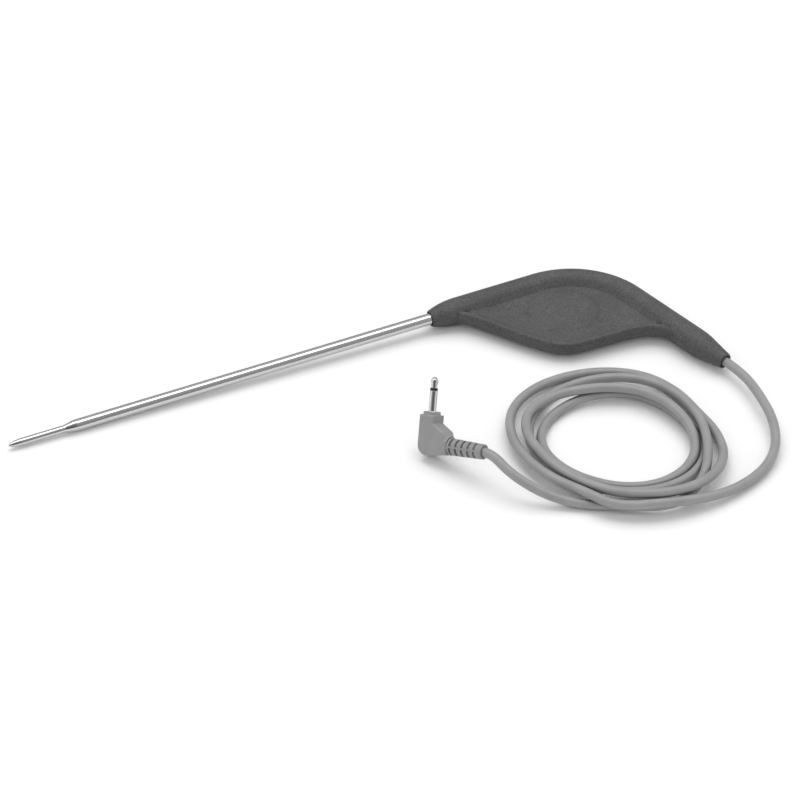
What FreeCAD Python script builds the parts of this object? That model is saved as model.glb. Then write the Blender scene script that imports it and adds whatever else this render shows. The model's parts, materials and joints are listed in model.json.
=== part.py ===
"""Meat thermometer: a steel probe in a leaf-shaped handle, with a coiled cord and a 2.5 mm plug.

Row frame, millimetres: +X runs along the probe from its point towards the handle, +Z is up, and
the table is Z = 0.  The origin is the middle of the base of the probe and handle together.
The probe and handle are drawn lying level in a frame of their own, with its origin where the
probe enters the handle's nose, and are then tilted the way they rest on a table.
The plug is drawn upright, with its pin up and its boot along +X, and is then leaned into place.
"""
import FreeCAD, Part
import math
import os

from FreeCAD import Placement, Rotation, Vector

# --- where things lie ---------------------------------------------------------------------
NOSE_X, NOSE_Y = 34.9, 29.7        # the handle's nose, from the row origin
NOSE_Z = 4.35                      # height of the probe's axis at the nose
PROBE_TILT = 1.069                 # degrees: rests on its step and on the thicker handle
HANDLE_ROLL = 1.336                # degrees: the tail's underside comes down to the table

# --- probe ----------------------------------------------------------------------------------
SHAFT_R = 2.0                      # 4 mm tube
SHAFT_WALL = 0.4
SEAT_R = 1.8                       # the tube is turned down where the handle holds it
SHAFT_STEP = -125.8                # where the tube starts to neck down
NECK_LENGTH = 3.4
TIP_R = 1.25                       # 2.5 mm tip tube
TIP_WALL = 0.25
TIP_LAP = 6.0                      # length of the tip tube held inside the main tube
POINT_END = -148.4
POINT_LENGTH = 4.3
POINT_SPIGOT = 1.6
SHAFT_INSET = 14.0                 # length of the tube held inside the handle
WIRE_R = 0.45
WIRE_SPREAD = 0.55                 # each signal wire's distance from the middle
LEAD_R = 0.12                      # bare leads of the thermistor

# --- handle ---------------------------------------------------------------------------------
SPINE_R = 4.5
SPINE_CORNER = 60.0                # where the spine's two straight lines would cross
SPINE_TURN = 75.8                  # degrees, towards -Y
SPINE_BEND_R = 26.0
SPINE_TAIL = 65.2                  # length of the second line, from the corner to the tail's end
NOSE_FACE_R, NOSE_TAPER = 2.8, 9.0
TAIL_FACE_R, TAIL_TAPER = 2.65, 12.5
FACE_RECESS = 0.9
WEB_HALF = 1.7                     # half the thickness of the leaf's panel
RIM_HALF, RIM_WIDTH = 2.3, 2.2     # half the thickness and the width of the band round its edge
PILLOW_X, PILLOW_Y = 40.3, -17.7   # middle of the thumb pillow
PILLOW_LONG, PILLOW_WIDE = 12.3, 11.6
PILLOW_RISE = 0.9
PILLOW_ANGLE = -26.0               # degrees, its long axis from +X
RIM_OUTLINE = [
    (3.5, -2.2), (9.6, -4.6), (14.8, -12.8), (24.0, -27.4), (31.6, -36.2), (45.0, -36.8),
    (60.0, -37.2), (66.9, -42.0), (67.4, -50.5), (71.6, -56.5),
]
LEAF_BACK = [(73.6, -55.0), (66.5, -26.0), (60.0, -9.5), (46.0, -1.2)]   # hidden inside the spine

# --- handle's core --------------------------------------------------------------------------
CORE_R = 3.3
CORE_START, CORE_END = 8.0, 109.0  # stations along the spine
CORE_WEB_HALF = 0.8
CORE_OUTLINE = [
    (16.0, -2.0), (28.0, -27.0), (34.0, -32.6), (58.0, -33.0), (64.5, -28.0), (58.0, -8.0), (44.0, -1.0),
]
CORE_WINDOWS = [(27.0, -11.0), (51.0, -26.0)]
CORE_WINDOW_R = 2.2
CHANNEL_R = SEAT_R                 # the bore through the core carries the probe, then the wires
ANCHOR_START, ANCHOR_LENGTH, ANCHOR_R = 9.5, 2.5, 2.6
CLAMP_START, CLAMP_LENGTH, CLAMP_R = 101.0, 5.0, 2.4
SPLICE_STARTS = (80.0, 88.0)       # the two crimps are staggered along the spine
SPLICE_LENGTH, SPLICE_R = 5.0, 0.6
SHRINK_START, SHRINK_END = 78.0, 96.0
SHRINK_R, SHRINK_WALL = 1.6, 0.3

# --- cord -----------------------------------------------------------------------------------
CORD_R = 1.55
CORD_STRIP = 98.0                  # station where the cord's jacket starts inside the handle
CORD_SET_BACK = 1.0                # the free cord starts this far inside a face
ARC_SHARE = 0.45
LEAD_ROUTE = [
    (111.9, -54.5, 5.0), (108.9, -68.0, 4.4), (102.4, -80.0, 3.1), (90.5, -88.6, 2.3),
    (76.0, -91.3, 2.4), (61.5, -90.0, 4.2), (47.5, -86.0, 4.8),
]
LEAD_FIRST_RUN = 9.0
TAIL_ROUTE = [
    (20.8, -61.2, 9.2), (27.6, -70.0, 6.0), (37.0, -77.4, 2.8), (49.0, -84.5, 1.6),
]
TAIL_FIRST_RUN = 6.5
COIL_X, COIL_Y = 59.5, -52.5
COIL_LONG, COIL_WIDE = 41.0, 34.5  # half axes of the coil's outside
HOLE_X, HOLE_Y = 62.0, -51.0
HOLE_LONG, HOLE_WIDE = 26.0, 20.0  # half axes of the open middle
COIL_HEIGHT = 8.3
COIL_ANGLE = -75.0                 # degrees, its long axis from +X

# --- plug -----------------------------------------------------------------------------------
PLUG_X, PLUG_Y = 7.8, -26.5
PLUG_YAW, PLUG_ROLL, PLUG_LEAN, PLUG_BEARING = -37.0, 4.5, 33.0, -25.9
PIN_R = 1.25                       # 2.5 mm mono plug
PIN_SLEEVE, PIN_RING, PIN_TIP = 6.7, 0.7, 3.6
PIN_NECK_R, PIN_POINT_R = 0.98, 0.4
PIN_BORE_R, PIN_ROD_R = 0.8, 0.45
SHANK_R = 1.45                     # the sleeve contact is thicker inside the plug
BOSS_R, BOSS_HEIGHT = 2.75, 1.0
BODY_HALF, BODY_DEPTH = 2.8, 5.9
BODY_HEIGHT, BODY_REACH = 12.8, 8.3
BODY_RISE = 0.8                    # the underside climbs this much towards the boot
SHOULDER_TOP, SHOULDER_END = -2.5, -5.8
HEEL_R = 3.4
BOOT_Z, BOOT_DROOP = -9.2, 1.0
BOOT_LENGTH, BOOT_R, BOOT_END_R = 12.9, 2.75, 2.4
GROOVES, GROOVE_FIRST, GROOVE_PITCH, GROOVE_WIDTH = 5, 0.75, 2.3, 0.85
GROOVE_FLOOR_R, WEB_WIDTH = 1.85, 0.55
PLUG_STRIP = 6.6                   # where the cord's jacket ends inside the plug
PLUG_WIRE_R = 0.4
SOLDER_R, SOLDER_TOP, SOLDER_END = 0.8, -7.3, -8.6
TAB_X = -1.7

X_AXIS, Y_AXIS, Z_AXIS = Vector(1, 0, 0), Vector(0, 1, 0), Vector(0, 0, 1)


# --- general shapes --------------------------------------------------------------------------
def cylinder(radius, start, direction, length):
    return Part.makeCylinder(radius, length, start, direction)


def pipe_ring(outer, inner, start, direction, length):
    return cylinder(outer, start, direction, length).cut(cylinder(inner, start, direction, length))


def turned(profile, start, direction):
    """A solid of revolution; the profile is (distance along the axis, radius) pairs."""
    points = [Vector(radius, 0, along) for along, radius in profile]
    face = Part.Face(Part.makePolygon(points + points[:1]))
    solid = face.revolve(Vector(0, 0, 0), Z_AXIS, 360)
    solid.Placement = Placement(start, Rotation(Z_AXIS, direction))
    return solid


def rounded_wire(points, share=ARC_SHARE, closed=False):
    """Straight runs joined by tangent arcs as large as each pair of runs allows."""
    count = len(points)
    corners = range(count) if closed else range(1, count - 1)
    entries, exits, arcs, radii = {}, {}, {}, []
    for i in corners:
        before = points[i - 1] - points[i]
        after = points[(i + 1) % count] - points[i]
        trim = share * min(before.Length, after.Length)
        turn = math.pi - before.getAngle(after)
        radius = trim / math.tan(turn / 2)
        before.normalize()
        after.normalize()
        middle = (before + after).normalize()
        sagitta = trim / math.sin(turn / 2) * (1 - math.cos(turn / 2)) / math.cos(turn / 2)
        bulge = points[i] + middle * (radius / math.cos(turn / 2) - radius)
        entries[i] = points[i] + before * trim
        exits[i] = points[i] + after * trim
        arcs[i] = Part.Arc(entries[i], bulge, exits[i]).toShape()
        radii.append(radius)
    edges = []
    for i in range(count if closed else count - 1):
        j = (i + 1) % count
        start = exits.get(i, points[i])
        end = entries.get(j, points[j])
        edges.append(Part.LineSegment(start, end).toShape())
        if j in arcs:
            edges.append(arcs[j])
    return Part.Wire(edges), radii


def tube(wire, radius):
    """A round solid swept along a wire that starts with a straight run."""
    first = wire.OrderedEdges[0]
    start = first.valueAt(first.FirstParameter)
    along = first.tangentAt(first.FirstParameter)
    section = Part.Wire(Part.makeCircle(radius, start, along))
    return wire.makePipeShell([section], True, False)


def plate(outline, half):
    """A level plate, of the given half thickness, inside a rounded outline."""
    wire, _ = rounded_wire([Vector(x, y, -half) for x, y in outline], closed=True)
    return Part.Face(wire).extrude(Vector(0, 0, 2 * half))


def joined(shapes):
    return shapes[0].multiFuse(shapes[1:]).removeSplitter()


def without(shape, others):
    return shape.cut(Part.makeCompound(others))


# --- the handle's spine ------------------------------------------------------------------------
TURN = math.radians(SPINE_TURN)
TAIL_WAY = Vector(math.cos(TURN), -math.sin(TURN), 0)
BEND_TRIM = SPINE_BEND_R * math.tan(TURN / 2)
BEND_START = SPINE_CORNER - BEND_TRIM
BEND_END = BEND_START + SPINE_BEND_R * TURN
SPINE_LENGTH = BEND_END + SPINE_TAIL - BEND_TRIM
TAIL_END = Vector(SPINE_CORNER, 0, 0) + TAIL_WAY * SPINE_TAIL


def spine_at(station, side=0.0):
    """Point and heading on the spine's centre line, or on a line beside it."""
    if station <= BEND_START:
        return Vector(station, side, 0), X_AXIS
    if station < BEND_END:
        angle = (station - BEND_START) / SPINE_BEND_R
        radius = SPINE_BEND_R + side
        centre = Vector(BEND_START, -SPINE_BEND_R, 0)
        point = centre + Vector(math.sin(angle), math.cos(angle), 0) * radius
        return point, Vector(math.cos(angle), -math.sin(angle), 0)
    across = Vector(math.sin(TURN), math.cos(TURN), 0)
    point = TAIL_END - TAIL_WAY * (SPINE_LENGTH - station) + across * side
    return point, TAIL_WAY


def spine_wire(start, end, side=0.0):
    """The stretch of the spine's line between two stations."""
    edges = []
    if start < BEND_START:
        stop = min(end, BEND_START)
        edges.append(Part.LineSegment(spine_at(start, side)[0], spine_at(stop, side)[0]).toShape())
    if start < BEND_END and end > BEND_START:
        first = max(start, BEND_START)
        last = min(end, BEND_END)
        stations = (first, (first + last) / 2, last)
        edges.append(Part.Arc(*[spine_at(s, side)[0] for s in stations]).toShape())
    if end > BEND_END:
        first = max(start, BEND_END)
        edges.append(Part.LineSegment(spine_at(first, side)[0], spine_at(end, side)[0]).toShape())
    return Part.Wire(edges)


def spine_rod(start, end, radius, side=0.0):
    return tube(spine_wire(start, end, side), radius)


def spine_ring(start, length, outer, inner, side=0.0):
    point, heading = spine_at(start, side)
    return pipe_ring(outer, inner, point, heading, length)


# --- probe ---------------------------------------------------------------------------------------
def probe_tube():
    inner = SHAFT_R - SHAFT_WALL
    neck = SHAFT_STEP - NECK_LENGTH
    profile = [
        (neck, TIP_R), (neck, TIP_R + 0.15), (SHAFT_STEP, SHAFT_R), (0.0, SHAFT_R), (0.0, SEAT_R),
        (SHAFT_INSET, SEAT_R), (SHAFT_INSET, inner), (SHAFT_STEP + TIP_LAP, inner),
        (SHAFT_STEP + TIP_LAP - 0.6, TIP_R),
    ]
    return turned(profile, Vector(0, 0, 0), X_AXIS)


def tip_tube():
    start = POINT_END + POINT_LENGTH
    return pipe_ring(TIP_R, TIP_R - TIP_WALL, Vector(start, 0, 0), X_AXIS, SHAFT_STEP + TIP_LAP - 1 - start)


def probe_point():
    shoulder = POINT_END + POINT_LENGTH
    profile = [
        (POINT_END, 0.0), (POINT_END + 0.25, 0.22), (POINT_END + 2.2, 0.86), (shoulder, TIP_R),
        (shoulder, TIP_R - TIP_WALL), (shoulder + POINT_SPIGOT, TIP_R - TIP_WALL),
        (shoulder + POINT_SPIGOT, 0.0),
    ]
    return turned(profile, Vector(0, 0, 0), X_AXIS)


BEAD_START = POINT_END + POINT_LENGTH + POINT_SPIGOT + 0.5
BEAD_LENGTH, BEAD_R = 2.2, 0.7
WIRES_START = BEAD_START + BEAD_LENGTH + 7.0
WELD_LENGTH, WELD_R = 2.0, 0.3
LEAD_SPREAD = 0.45


def thermistor_bead():
    """A glass bead with rounded ends."""
    middle = Vector(BEAD_START + BEAD_R, 0, 0)
    body = cylinder(BEAD_R, middle, X_AXIS, BEAD_LENGTH - 2 * BEAD_R)
    ends = [Part.makeSphere(BEAD_R, middle + X_AXIS * step) for step in (0, BEAD_LENGTH - 2 * BEAD_R)]
    return joined([body] + ends)


def thermistor_leads():
    """Two bare leads from the bead to the crimps on the signal wires."""
    start = BEAD_START + BEAD_LENGTH - 0.3
    length = WIRES_START - 1.0 - start
    return [cylinder(LEAD_R, Vector(start, side * LEAD_SPREAD, 0), X_AXIS, length) for side in (1, -1)]


def lead_crimps():
    """Small sleeves that join each bare lead to its signal wire."""
    start = WIRES_START - WELD_LENGTH
    sleeves = []
    for side in (1, -1):
        base = Vector(start, side * LEAD_SPREAD, 0)
        sleeve = cylinder(WELD_R, base, X_AXIS, WELD_LENGTH)
        sleeves.append(sleeve.cut(cylinder(LEAD_R, base, X_AXIS, 1.0)))
    return sleeves


def thermal_paste(fillings):
    """Heat-conducting filling round the bead and its leads."""
    start = POINT_END + POINT_LENGTH + POINT_SPIGOT
    plug = cylinder(TIP_R - TIP_WALL, Vector(start, 0, 0), X_AXIS, 9.0)
    return without(plug, fillings)


def signal_wires():
    """Two insulated wires from the tip, up the probe and round the handle to the splices."""
    wires = []
    for side, end in zip((1, -1), SPLICE_STARTS):
        wires.append(spine_rod(WIRES_START, end + 2.0, WIRE_R, side * WIRE_SPREAD))
    return wires


def probe_seal(wires):
    """A plug of sealant that closes the probe's open end round the wires."""
    plug = cylinder(SHAFT_R - SHAFT_WALL, Vector(SHAFT_INSET - 3.0, 0, 0), X_AXIS, 3.0)
    return without(plug, wires)


def probe_collar():
    """A ring crimped on the probe, which locks it in the core."""
    return spine_ring(ANCHOR_START, ANCHOR_LENGTH, ANCHOR_R, SEAT_R)


# --- splices inside the handle -------------------------------------------------------------------
def splice_crimps():
    crimps = []
    for side, start in zip((1, -1), SPLICE_STARTS):
        crimps.append(spine_ring(start, SPLICE_LENGTH, SPLICE_R, WIRE_R, side * WIRE_SPREAD))
    return crimps


def cord_cores():
    """The cord's two inner wires, from the splices to its jacket."""
    cores = []
    for side, start in zip((1, -1), SPLICE_STARTS):
        cores.append(spine_rod(start + 3.0, CORD_STRIP, WIRE_R, side * WIRE_SPREAD))
    return cores


def splice_sleeve():
    """Shrink sleeve over both splices."""
    return spine_ring(SHRINK_START, SHRINK_END - SHRINK_START, SHRINK_R, SHRINK_R - SHRINK_WALL)


def handle_cord_end():
    """The jacketed cord inside the handle, up to just short of the tail's face."""
    return spine_rod(CORD_STRIP, SPINE_LENGTH - CORD_SET_BACK, CORD_R)


def cord_clamp():
    """A crimped ring that stops the cord from being pulled out."""
    return spine_ring(CLAMP_START, CLAMP_LENGTH, CLAMP_R, CORD_R)


# --- core and grip ---------------------------------------------------------------------------------
def core_blank():
    """The whole rigid core: a tube along the spine, with a web that stiffens the leaf."""
    spine = spine_rod(CORE_START, CORE_END, CORE_R)
    web = plate(CORE_OUTLINE, CORE_WEB_HALF)
    core = joined([spine, web])
    windows = [cylinder(CORE_WINDOW_R, Vector(x, y, -2), Z_AXIS, 4) for x, y in CORE_WINDOWS]
    return without(core, windows)


def core_bore():
    """Everything that is hollow in the core."""
    channel = spine_rod(CORE_START - 1, CORE_END + 1, CHANNEL_R)
    anchor = spine_rod(ANCHOR_START, ANCHOR_START + ANCHOR_LENGTH, ANCHOR_R)
    clamp = spine_rod(CLAMP_START, CLAMP_START + CLAMP_LENGTH, CLAMP_R)
    return [channel, anchor, clamp]


def core_half(core, upper):
    level = 0 if upper else -10
    half_space = Part.makeBox(200, 200, 10, Vector(-20, -120, level))
    return core.common(half_space)


def nose_cap():
    """The spine's rounded taper down to the probe, with a countersunk mouth."""
    profile = [
        (0.0, SHAFT_R + 0.35), (0.0, NOSE_FACE_R - 0.4), (0.3, NOSE_FACE_R), (3.0, 3.65), (6.0, 4.25),
        (NOSE_TAPER, SPINE_R), (NOSE_TAPER + 3, SPINE_R), (NOSE_TAPER + 3, SEAT_R), (FACE_RECESS, SEAT_R),
    ]
    return turned(profile, Vector(0, 0, 0), X_AXIS)


def tail_cap():
    """The spine's straight taper down to the cord, with a recessed mouth."""
    mouth = CORD_R + 0.4
    profile = [
        (0.0, mouth), (0.0, TAIL_FACE_R - 0.4), (0.4, TAIL_FACE_R), (TAIL_TAPER - 1.5, SPINE_R - 0.12),
        (TAIL_TAPER + 1, SPINE_R), (TAIL_TAPER + 4, SPINE_R), (TAIL_TAPER + 4, CORD_R),
        (FACE_RECESS, CORD_R),
        (FACE_RECESS, mouth),
    ]
    return turned(profile, TAIL_END, TAIL_WAY * -1)


def rim_band():
    """The raised band along the leaf's free edge."""
    outer = plate(RIM_OUTLINE + LEAF_BACK, RIM_HALF)
    outline = [Vector(x, y, 0) for x, y in RIM_OUTLINE + LEAF_BACK]
    face = Part.Face(rounded_wire(outline, closed=True)[0])
    inner = face.makeOffset2D(-RIM_WIDTH).extrude(Vector(0, 0, 2 * RIM_HALF))
    inner.translate(Vector(0, 0, -RIM_HALF))
    return outer.cut(inner)


def thumb_pillow():
    """A shallow oval swelling on each face of the leaf."""
    oval = Part.Ellipse(Vector(0, 0, 0), PILLOW_LONG, PILLOW_WIDE).toShape()
    height = WEB_HALF + PILLOW_RISE * 0.6
    pillow = Part.Face(Part.Wire(oval)).extrude(Vector(0, 0, 2 * height))
    pillow.translate(Vector(0, 0, -height))
    place = Placement(Vector(PILLOW_X, PILLOW_Y, 0), Rotation(Z_AXIS, PILLOW_ANGLE))
    pillow.Placement = place.multiply(pillow.Placement)
    return pillow


def grip(core):
    """The moulded silicone skin: spine, leaf, rim and pillow in one piece, round the core."""
    leaf = plate(RIM_OUTLINE + LEAF_BACK, WEB_HALF)
    spine = spine_rod(NOSE_TAPER, SPINE_LENGTH - TAIL_TAPER, SPINE_R)
    blank = joined([spine, nose_cap(), tail_cap(), leaf, rim_band(), thumb_pillow()])
    bores = [
        cylinder(SEAT_R, Vector(-1, 0, 0), X_AXIS, CORE_START + 2),
        cylinder(CORD_R, TAIL_END, TAIL_WAY * -1, SPINE_LENGTH - CORE_END + 1),
        core.fuse(spine_rod(CORE_START, CORE_END, CORE_R)),
    ]
    return without(blank, bores)


# --- cord --------------------------------------------------------------------------------------------
def route_report(name, wire, radii, solid):
    exact = math.pi * CORD_R ** 2 * wire.Length
    print(f"{name}: length {wire.Length:.1f}, radii " + ", ".join(f"{r:.1f}" for r in radii))
    print(f"{name}: volume {solid.Volume:.1f}, section x length {exact:.1f}")


def oval_block(x, y, long_axis, wide_axis):
    oval = Part.Face(Part.Wire(Part.Ellipse(Vector(0, 0, 0), long_axis, wide_axis).toShape()))
    block = oval.extrude(Vector(0, 0, COIL_HEIGHT))
    block.Placement = Placement(Vector(x, y, 0), Rotation(Z_AXIS, COIL_ANGLE))
    return block


def coil_band():
    """The outer shape of the pile of turns: an oval ring standing on the table."""
    hole = oval_block(HOLE_X, HOLE_Y, HOLE_LONG, HOLE_WIDE)
    return oval_block(COIL_X, COIL_Y, COIL_LONG, COIL_WIDE).cut(hole)


def route_from(start, heading, first_run, rest):
    return [start, start + heading * first_run] + [Vector(*p) for p in rest]


def cord_run(name, points, coil):
    """One stretch of cord, from a face to the flat end that it shares with the coil."""
    wire, radii = rounded_wire(points)
    solid = tube(wire, CORD_R)
    route_report(name, wire, radii, solid)
    return solid.cut(coil)


# --- plug --------------------------------------------------------------------------------------------
PIN_BASE = BOSS_HEIGHT
RING_BASE = PIN_BASE + PIN_SLEEVE
TIP_BASE = RING_BASE + PIN_RING
PIN_TOP = TIP_BASE + PIN_TIP
BOOT_WAY = Vector(math.cos(math.radians(BOOT_DROOP)), 0, -math.sin(math.radians(BOOT_DROOP)))
BOOT_BASE = Vector(BODY_REACH, 0, BOOT_Z)
BOOT_TOP = BOOT_BASE + BOOT_WAY * BOOT_LENGTH
FLANGE_Z, FLANGE_R, FLANGE_THICK = -2.5, 2.2, 0.6
WASHER_THICK = 0.8
TERMINAL_END = -8.0


def plug_tip_contact():
    """The tip: a cone, a neck for the socket's spring, a shoulder, and the rod behind them."""
    profile = [
        (TERMINAL_END, 0.0), (TERMINAL_END, PIN_ROD_R), (TIP_BASE, PIN_ROD_R), (TIP_BASE, 1.08),
        (TIP_BASE + 0.5, PIN_NECK_R), (TIP_BASE + 1.0, PIN_NECK_R), (TIP_BASE + 2.1, 1.2),
        (TIP_BASE + 2.5, 1.17), (PIN_TOP - 0.25, 0.6), (PIN_TOP, PIN_POINT_R), (PIN_TOP, 0.0),
    ]
    return turned(profile, Vector(0, 0, 0), Z_AXIS)


def plug_insulator():
    """The black ring between tip and sleeve, with its tube down inside the sleeve."""
    ring = pipe_ring(PIN_R, PIN_ROD_R, Vector(0, 0, RING_BASE), Z_AXIS, PIN_RING)
    lining = pipe_ring(PIN_BORE_R, PIN_ROD_R, Vector(0, 0, FLANGE_Z), Z_AXIS, RING_BASE - FLANGE_Z)
    return joined([ring, lining])


def plug_sleeve_contact():
    """The sleeve, with the flange that holds it in the body and its solder tab."""
    barrel = cylinder(PIN_R, Vector(0, 0, PIN_BASE), Z_AXIS, PIN_SLEEVE)
    shank = cylinder(SHANK_R, Vector(0, 0, FLANGE_Z), Z_AXIS, PIN_BASE - FLANGE_Z)
    flange = cylinder(FLANGE_R, Vector(0, 0, FLANGE_Z), Z_AXIS, FLANGE_THICK)
    tab_length = FLANGE_Z + FLANGE_THICK - TERMINAL_END
    tab = Part.makeBox(0.3, 1.2, tab_length, Vector(TAB_X - 0.15, -0.6, TERMINAL_END))
    bore = cylinder(PIN_BORE_R, Vector(0, 0, FLANGE_Z - 1), Z_AXIS, RING_BASE - FLANGE_Z + 2)
    return joined([barrel, shank, flange, tab]).cut(bore)


def plug_washer():
    """Insulating washer behind the sleeve's flange."""
    return pipe_ring(SHANK_R, PIN_ROD_R, Vector(0, 0, FLANGE_Z - WASHER_THICK), Z_AXIS, WASHER_THICK)


def plug_inner_block(contacts):
    """The stiff pre-moulding that holds the contacts in line."""
    block = Part.makeBox(4.4, 4.4, 5.8, Vector(-2.2, -2.2, -6.8))
    return without(block, contacts)


def plug_cord_end():
    start = BOOT_BASE - BOOT_WAY * (BODY_REACH - PLUG_STRIP)
    length = (BODY_REACH - PLUG_STRIP) + BOOT_LENGTH - CORD_SET_BACK
    return cylinder(CORD_R, start, BOOT_WAY, length)


def plug_wires():
    """The cord's two inner wires, bent up to the plug's terminals."""
    start = BOOT_BASE - BOOT_WAY * (BODY_REACH - PLUG_STRIP)
    wires = []
    for side, x in ((0.55, 0.0), (-0.55, TAB_X)):
        bend = Vector(x, side, start.z - 0.15)
        points = [Vector(start.x, side, start.z), bend, Vector(x, side, TERMINAL_END - 0.02)]
        wires.append(tube(rounded_wire(points, 0.8)[0], PLUG_WIRE_R))
    return wires


def plug_solder(contacts, wires):
    """A bead of solder on each terminal."""
    beads = []
    for side, x in ((0.3, 0.0), (-0.3, TAB_X)):
        bead = cylinder(SOLDER_R, Vector(x, side, SOLDER_END), Z_AXIS, SOLDER_TOP - SOLDER_END)
        beads.append(without(bead, contacts + wires))
    return beads


def plug_body(inner):
    """The moulded right-angle body: an upright column, a sloping shoulder and a rounded heel."""
    half_depth = BODY_DEPTH / 2
    floor = -BODY_HEIGHT
    outline = [
        (-BODY_HALF, 0.0), (BODY_HALF, 0.0), (BODY_HALF, SHOULDER_TOP), (BODY_REACH, SHOULDER_END),
        (BODY_REACH, floor + BODY_RISE), (HEEL_R - BODY_HALF, floor), (-BODY_HALF, floor + HEEL_R),
    ]
    points = [Vector(x, -half_depth, z) for x, z in outline]
    edges = [Part.LineSegment(a, b).toShape() for a, b in zip(points[:-2], points[1:-1])]
    middle = HEEL_R * (1 - math.sqrt(0.5))
    heel = Vector(-BODY_HALF + middle, -half_depth, floor + middle)
    edges.append(Part.Arc(points[-2], heel, points[-1]).toShape())
    edges.append(Part.LineSegment(points[-1], points[0]).toShape())
    block = Part.Face(Part.Wire(edges)).extrude(Vector(0, BODY_DEPTH, 0))
    boss = cylinder(BOSS_R, Vector(0, 0, -1), Z_AXIS, BOSS_HEIGHT + 1)
    upright = [e for e in block.Edges if abs(e.tangentAt(e.FirstParameter).y) < 0.01]
    front = [e for e in upright if abs(abs(e.CenterOfMass.y) - half_depth) < 0.01]
    return without(joined([block.makeFillet(0.5, front), boss]), inner)


def plug_boot(cord_end):
    """The strain relief: rings joined by four webs, narrowing towards the cord."""
    profile = [(0.0, 0.0), (0.0, BOOT_R), (BOOT_LENGTH, BOOT_END_R), (BOOT_LENGTH, 0.0)]
    blank = turned(profile, BOOT_BASE, BOOT_WAY)
    placement = Placement(BOOT_BASE, Rotation(Z_AXIS, BOOT_WAY))
    gaps = []
    for i in range(GROOVES):
        base = Vector(0, 0, GROOVE_FIRST + i * GROOVE_PITCH)
        gap = pipe_ring(BOOT_R + 1, GROOVE_FLOOR_R, base, Z_AXIS, GROOVE_WIDTH)
        for turn in (0, 90):
            web = Part.makeBox(WEB_WIDTH, 10, GROOVE_WIDTH, Vector(-WEB_WIDTH / 2, -5, base.z))
            web.rotate(Vector(0, 0, 0), Z_AXIS, turn)
            gap = gap.cut(web)
        gap.Placement = placement
        gaps.append(gap)
    mouth = cylinder(CORD_R, BOOT_TOP, BOOT_WAY * -1, BOOT_LENGTH)
    return without(blank, gaps + [mouth, cord_end])


# --- placing -------------------------------------------------------------------------------------------
HANDLE_PLACE = Placement(
    Vector(NOSE_X, NOSE_Y, NOSE_Z),
    Rotation(X_AXIS, HANDLE_ROLL).multiply(Rotation(Y_AXIS, -PROBE_TILT)),
)
PLUG_TURN = Rotation(Z_AXIS, PLUG_BEARING)
for axis, angle in ((X_AXIS, -PLUG_LEAN), (Y_AXIS, PLUG_ROLL), (Z_AXIS, PLUG_YAW)):
    PLUG_TURN = PLUG_TURN.multiply(Rotation(axis, angle))


def placed(shape, placement):
    solids = shape if isinstance(shape, list) else [shape]
    moved = []
    for solid in solids:
        copy = solid.copy()
        copy.Placement = placement.multiply(copy.Placement)
        moved.append(copy)
    return moved[0] if len(moved) == 1 else Part.makeCompound(moved)


def handle_nodes():
    bead = thermistor_bead()
    leads = thermistor_leads()
    wires = signal_wires()
    crimps = lead_crimps()
    core = core_blank()
    hollow_core = without(core, core_bore())
    leads = [without(lead, [bead]) for lead in leads]
    wires = [without(wire, crimps) for wire in wires]
    return {
        "probe_tube": probe_tube(),
        "tip_tube": tip_tube(),
        "probe_point": probe_point(),
        "thermistor_bead": bead,
        "thermistor_leads": leads,
        "lead_crimps": crimps,
        "thermal_paste": thermal_paste([bead] + leads + crimps + wires),
        "signal_wires": wires,
        "probe_seal": probe_seal(wires),
        "probe_collar": probe_collar(),
        "core_upper": core_half(hollow_core, True),
        "core_lower": core_half(hollow_core, False),
        "grip": grip(core),
        "splice_crimps": splice_crimps(),
        "splice_sleeve": splice_sleeve(),
        "cord_cores": cord_cores(),
        "handle_cord_end": handle_cord_end(),
        "cord_clamp": cord_clamp(),
    }


def plug_nodes():
    tip = plug_tip_contact()
    insulator = plug_insulator()
    sleeve = plug_sleeve_contact()
    washer = plug_washer()
    wires = plug_wires()
    solder = plug_solder([tip, sleeve], wires)
    cord_end = plug_cord_end()
    block = plug_inner_block([tip, insulator, sleeve, washer])
    return {
        "plug_tip_contact": tip,
        "plug_insulator": insulator,
        "plug_sleeve_contact": sleeve,
        "plug_washer": washer,
        "plug_inner_block": block,
        "plug_wires": wires,
        "plug_solder": solder,
        "plug_cord_end": cord_end,
        "plug_body": plug_body([tip, insulator, sleeve, washer, block, cord_end] + wires + solder),
        "plug_boot": plug_boot(cord_end),
    }


def plug_placement(nodes):
    """Stand the leaning plug on the table."""
    turned_body = placed(nodes["plug_body"], Placement(Vector(0, 0, 0), PLUG_TURN))
    return Placement(Vector(PLUG_X, PLUG_Y, -turned_body.BoundBox.ZMin), PLUG_TURN)


def cord_nodes(plug_place):
    coil = coil_band()
    heading = HANDLE_PLACE.Rotation.multVec(TAIL_WAY)
    start = HANDLE_PLACE.multVec(TAIL_END - TAIL_WAY * CORD_SET_BACK)
    lead = cord_run("cord_lead", route_from(start, heading, LEAD_FIRST_RUN, LEAD_ROUTE), coil)
    heading = plug_place.Rotation.multVec(BOOT_WAY)
    start = plug_place.multVec(BOOT_TOP - BOOT_WAY * CORD_SET_BACK)
    tail = cord_run("cord_tail", route_from(start, heading, TAIL_FIRST_RUN, TAIL_ROUTE), coil)
    return {"cord_lead": lead, "cord_coil": coil, "cord_tail": tail}


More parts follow.
